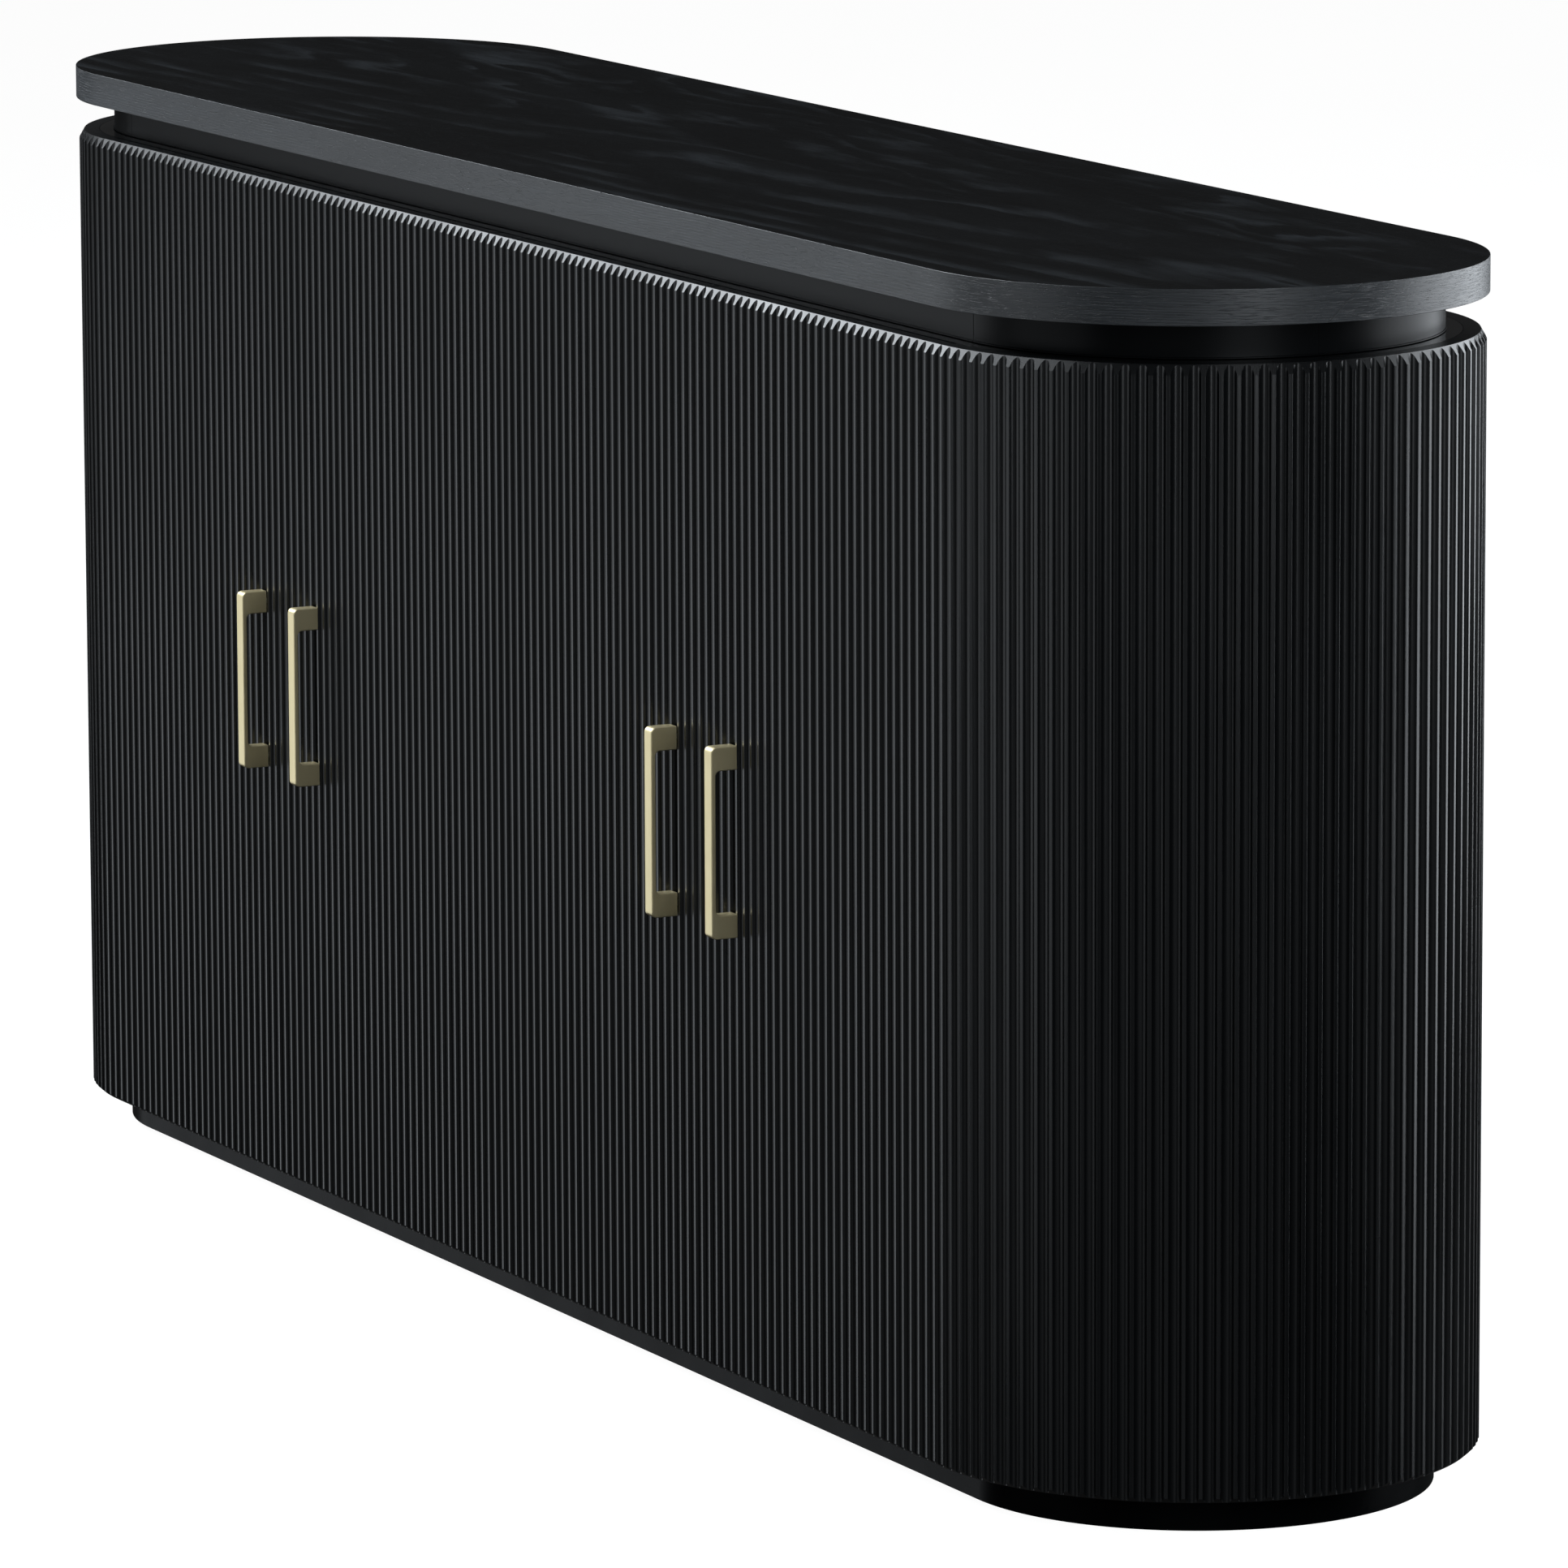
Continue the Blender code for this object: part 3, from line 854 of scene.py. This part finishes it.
for number in (1, 2, 3, 4):
    for level in ("lower", "upper"):
        node = f"hinge_cup_{number}_{level}"
        low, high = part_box(node)
        middle = (low + high) / 2
        radius = (high.x - low.x) / 2
        rim = high.y
        depth = rim - low.y
        bore = radius - CUP_WALL
        cup = turned(
            [
                (0.0, 0.0),
                (radius - CUP_CORNER, 0.0),
                (radius, CUP_CORNER),
                (radius, depth),
                (bore, depth),
                (bore, CUP_WALL + CUP_CORNER),
                (bore - CUP_CORNER, CUP_WALL),
                (0.0, CUP_WALL),
            ],
            (0.0, 1.0, 0.0),
            (middle.x, low.y, middle.z),
            CUP_STEPS,
        )
        wing_start = radius * FLANGE_START
        tall = (high.z - low.z) / 2 - wing_start
        for way in (-1, 1):
            wing_z = middle.z + way * (wing_start + tall / 2)
            wing_middle = (middle.x, rim - FLANGE_THICK / 2, wing_z)
            wing = block((FLANGE_WIDE, FLANGE_THICK, tall), wing_middle)
            outer_corners = [
                edge
                for edge in wing.edges
                if abs(edge.verts[0].co.y - edge.verts[1].co.y) > 1e-4
                and way * (edge.verts[0].co.z - middle.z) > radius
            ]
            round_off(wing, outer_corners, FLANGE_CORNER, 6)
            gather(cup, wing)
            head_place = (middle.x, rim, middle.z + way * FLANGE_SCREW_OUT)
            gather(cup, pan_head(head_place, (0.0, 1.0, 0.0), *FLANGE_SCREW))
        dish = f"hinge_dish_{number}_{level}"
        fit_piece(dish, cup, nickel, f"door_{number}", (node,))

        node = f"hinge_arm_{number}_{level}"
        low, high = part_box(node)
        middle = (low + high) / 2
        inward = 1 if number in (1, 3) else -1
        wall_face = low.x if inward > 0 else high.x
        plate_y = low.y + PLATE_SET_BACK + PLATE_LONG / 2
        plate = block(
            (PLATE_THICK, PLATE_LONG, high.z - low.z),
            (wall_face + inward * PLATE_THICK / 2, plate_y, middle.z),
        )
        corners = [
            edge for edge in plate.edges if abs(edge.verts[0].co.x - edge.verts[1].co.x) > 1e-4
        ]
        round_off(plate, corners, PLATE_CORNER, 5)
        arm_deep = high.x - low.x - ARM_OFF_WALL
        arm_x = wall_face + inward * (ARM_OFF_WALL + arm_deep / 2)
        arm = block((arm_deep, high.y - low.y, ARM_WIDE), (arm_x, middle.y, middle.z))
        ease(arm, ARM_EASING, segments=3)
        gather(plate, arm)
        top_x = wall_face + inward * (high.x - low.x)
        for along in ARM_SCREWS_ALONG:
            place = (top_x, low.y + (high.y - low.y) * along, middle.z)
            gather(plate, pan_head(place, (inward, 0.0, 0.0), *ARM_SCREW))
        for up in (-PLATE_SCREW_OUT, PLATE_SCREW_OUT):
            place = (wall_face + inward * PLATE_THICK, plate_y, middle.z + up)
            gather(plate, pan_head(place, (inward, 0.0, 0.0), *PLATE_SCREW))
        lever = f"hinge_lever_{number}_{level}"
        fit_piece(lever, plate, nickel, "carcass", (node,))


# ---- Case top ---------------------------------------------------------------------------------
# The board that closes the case at the height of the doors' tops. Lacquered black, glossier
# than the rest; the riser stands on it and leaves a narrow rim showing all round.

rim_lacquer = lacquer("black_lacquer_rim", 0.0045, 0.16, 1.0, 0.5)
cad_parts["case_top"].material_slots[0].material = rim_lacquer.material


# ---- Riser ------------------------------------------------------------------------------------
# A smaller board of the same outline between the case and the slab. Its band is lacquered
# satin black, with a thin bead round its foot, and is made of bent and straight lengths that
# meet in fine upright seams where the ends begin and at their middles.

BEAD_HEIGHT = 0.0013
BEAD_PROUD = 0.0007
SEAM_HALF = 0.0004
RISER_GREY = 0.0040
RISER_GLOSS = 0.34
SEAM_DULL = 0.75
riser_lacquer = lacquer("black_lacquer_riser", RISER_GREY, RISER_GLOSS, 1.0, 0.08)
riser_place = riser_lacquer.place()
along_band = riser_lacquer.part_of(riser_place, "X")
off_seam = abs(along_band - half_straight).or_less(abs(along_band + half_straight))
off_seam = off_seam.or_less(abs(riser_lacquer.part_of(riser_place, "Y")))
open_seam = riser_lacquer.ramp(off_seam, SEAM_HALF * 1.5, SEAM_HALF * 0.5)
riser_lacquer.set(
    "Base Color", riser_lacquer.blend(open_seam, grey(RISER_GREY, COOL), grey(RISER_GREY * 0.1))
)
riser_lacquer.set("Roughness", riser_lacquer.ramp(open_seam, 0.0, 1.0, RISER_GLOSS, SEAM_DULL))
riser_low, riser_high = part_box("riser")
riser_reach = riser_high.y
riser = run_round(
    [
        (riser_reach, riser_low.z),
        (riser_reach + BEAD_PROUD, riser_low.z + BEAD_HEIGHT * 0.25),
        (riser_reach + BEAD_PROUD, riser_low.z + BEAD_HEIGHT * 0.75),
        (riser_reach, riser_low.z + BEAD_HEIGHT),
        (riser_reach, riser_high.z),
    ],
    False,
)
fit_piece("riser_band", riser, riser_lacquer, "carcass", ("riser",))


# ---- Top slab ---------------------------------------------------------------------------------
# A thick board veneered in flat-sawn oak, its edge banded in the same oak with one scarf joint,
# stained black with the pores left open, under a thin satin coat. The arrises are eased.

SLAB_EASING = 0.0005
slab_low, slab_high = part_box("top_slab")
slab_reach = slab_high.y
slab = run_round([(slab_reach, slab_low.z), (slab_reach, slab_high.z)], False)
ease(slab, SLAB_EASING, segments=3)
slab.normal_update()
grain = slab.loops.layers.uv.new("grain")
for face in slab.faces:
    banded = abs(face.normal.z) < 0.9
    face.material_index = 1 if banded else 0
    for loop in face.loops:
        x, y, z = loop.vert.co
        if not banded:
            loop[grain].uv = (x, y)
            continue
        past = max(abs(x) - half_straight, 0.0) * (1 if x > 0 else -1)
        if y < 0:
            run = max(-half_straight, min(half_straight, x))
            run += slab_reach * math.atan2(past, -y)
        else:
            run = -max(-half_straight, min(half_straight, x))
            run += slab_reach * math.atan2(-past, y)
            run += 2 * half_straight + slab_reach * math.pi
        loop[grain].uv = (run, z)


def stained_oak(name, banded):
    """Black-stained oak: growth rings, long open pores, and paler streaks along broken late-wood
    rings.
    """
    made = Finish(name, IOR=1.47, Specular_IOR_Level=0.62 if banded else 0.09)
    across = made.node("UVMap", {"uv_map": "grain"}, None, "UV")
    along_grain = made.part_of(across, "X")
    over_grain = made.part_of(across, "Y")
    wander = made.noise(across, (1.2, 5.0, 1.0), 1.5, 3.0)
    fine = made.noise(across, (1.0, 46.0, 1.0), 16.0, 6.0, 0.7)
    pores = made.noise(across, (1.0, 30.0, 1.0), 70.0, 3.0, 0.6)
    drift = made.noise(across, (1.0, 5.0, 1.0), 2.4, 4.0, 0.6)
    # Painted light and shade: the band's colours are set about ten times lighter than the face's, for
    # the light falling on its upright edge, and the face's are set near black, for the shade on the
    # top.
    if banded:
        rings = over_grain * 500.0 + wander * 14.0 + along_grain * 1.2
        dark = 0.009
        pale = 0.038
        streaked = 0.060
    else:
        sunk = along_grain * 0.050 + 0.10 + wander * 0.12
        beside = over_grain + wander * 0.16 - 0.09
        rings = (sunk * sunk + beside * beside) ** 0.5 * 46.0
        dark = 0.0006
        pale = 0.0045
        streaked = 0.024
    ring = made.node("Math", {"operation": "FRACT"}, {0: rings + fine * 0.8})
    late_wood = made.ramp(ring, 0.40, 0.90) * made.ramp(ring, 1.0, 0.94)
    broken = made.ramp(made.noise(across, (1.0, 4.0, 1.0), 3.4, 5.0, 0.65), 0.42, 0.66)
    streak = late_wood * broken
    open_pore = made.ramp(pores, 0.56, 0.66)
    tone = made.ramp(drift, 0.32, 0.68) * 0.5 + made.ramp(fine, 0.34, 0.66) * 0.5
    body = made.blend(tone, grey(dark, COOL), grey(pale, COOL))
    stained = made.blend(streak * 0.85, body, grey(streaked, COOL))
    painted = made.blend(open_pore * 0.6, stained, grey(dark * 0.6, COOL))
    height = streak * 0.4 + fine * 0.5 - open_pore
    if banded:
        scarf = over_grain - along_grain * SCARF_SLOPE + (SCARF_SLOPE * SCARF_RUN - SCARF_HEIGHT)
        open_scarf = made.ramp(abs(scarf), 0.0006, 0.0002)
        painted = made.blend(open_scarf * 0.85, painted, grey(0.001))
        height = height - open_scarf * 2.0
    made.set("Base Color", painted)
    made.set("Roughness", made.ramp(fine, 0.3, 0.7, 0.33, 0.45))
    made.relief(height, 0.00022, 0.55)
    return made


SCARF_RUN = half_straight + slab_reach * math.radians(91.0)
SCARF_HEIGHT = 0.8375
SCARF_SLOPE = 0.93
oak_face = stained_oak("stained_oak_face", False)
oak_band = stained_oak("stained_oak_band", True)
slab_piece = fit_piece("slab", slab, oak_face, "carcass", ("top_slab",))
slab_piece.data.materials.append(oak_band.material)


# ---- Studio -----------------------------------------------------------------------------------
# A pale floor and a white surround, lit by soft panels: two low ones in front, a high one above
# the front left, a faint low one and a middling one to the right, and two behind.

scene = bpy.context.scene
scene.view_settings.view_transform = "Standard"

world = bpy.data.worlds.new("surround")
scene.world = world
world.use_nodes = True
sky = world.node_tree
seen_white = sky.nodes.new("ShaderNodeMix")
seen_white.data_type = "RGBA"
seen_white.inputs[6].default_value = grey(0.032)
seen_white.inputs[7].default_value = grey(1.0)
path = sky.nodes.new("ShaderNodeLightPath")
sky.links.new(path.outputs["Is Camera Ray"], seen_white.inputs[0])
sky.links.new(seen_white.outputs[2], sky.nodes["Background"].inputs["Color"])

floor_finish = Finish("pale_floor", Roughness=0.9, Specular_IOR_Level=0.0, Emission_Strength=1.0)
floor_place = floor_finish.place()
floor_clouds = floor_finish.noise(floor_place, (1.0, 1.0, 1.0), 1.5, 2.0)
floor_finish.set("Base Color", floor_finish.blend(floor_clouds, grey(0.20), grey(0.22)))
floor_finish.set("Emission Color", floor_finish.blend(floor_clouds, grey(0.96), grey(0.965)))
ground = bmesh.new()
bmesh.ops.create_circle(ground, cap_ends=True, segments=64, radius=14.0)
floor_mesh = bpy.data.meshes.new("floor")
ground.to_mesh(floor_mesh)
ground.free()
floor_mesh.materials.append(floor_finish.material)
floor = bpy.data.objects.new("floor", floor_mesh)
scene.collection.objects.link(floor)
floor.visible_glossy = False
floor.visible_diffuse = False


DAYLIGHT = (0.93, 0.985, 1.04)


def softbox(name, azimuth, distance, foot, head, wide, brightness):
    """An upright soft panel round the sideboard, at an azimuth from -Y towards +X."""
    angle = math.radians(azimuth)
    light = bpy.data.lights.new(name, "AREA")
    light.shape = "RECTANGLE"
    light.size = wide
    light.size_y = head - foot
    light.energy = brightness * math.pi * wide * (head - foot)
    light.color = DAYLIGHT
    lamp = bpy.data.objects.new(name, light)
    lamp.location = (distance * math.sin(angle), -distance * math.cos(angle), (foot + head) / 2)
    aim = Vector((-lamp.location.x, -lamp.location.y, 0.0))
    lamp.rotation_euler = aim.to_track_quat("-Z", "Z").to_euler()
    lamp.visible_camera = False
    scene.collection.objects.link(lamp)


softbox("front_left_low", -54.0, 4.0, -0.65, 1.1, 4.8, 1.05)
softbox("front_low", 0.0, 4.0, -0.50, 0.9, 3.1, 1.2)
softbox("front_left_high", -40.0, 3.6, 3.2, 6.0, 6.6, 8.0)
softbox("right_low", 56.0, 4.0, -0.6, 0.9, 5.0, 0.18)
softbox("right_mid", 84.0, 3.6, 1.5, 2.6, 3.0, 4.0)
softbox("back_right_low", 172.0, 4.2, -0.4, 1.2, 4.6, 4.0)
softbox("back_right_high", 172.0, 4.2, 1.2, 3.6, 4.6, 5.0)

camera_data = bpy.data.cameras.new("camera")
camera_data.lens = 245.705
camera_data.sensor_width = 36.0
camera_data.clip_end = 100.0
camera = bpy.data.objects.new("camera", camera_data)
camera.location = (7.0381, -3.4880, 1.7280)
camera.rotation_euler = (
    Matrix.Rotation(math.radians(63.343), 3, "Z")
    @ Matrix.Rotation(math.radians(80.228), 3, "X")
    @ Matrix.Rotation(math.radians(-0.225), 3, "Z")
).to_euler()
scene.collection.objects.link(camera)
scene.camera = camera
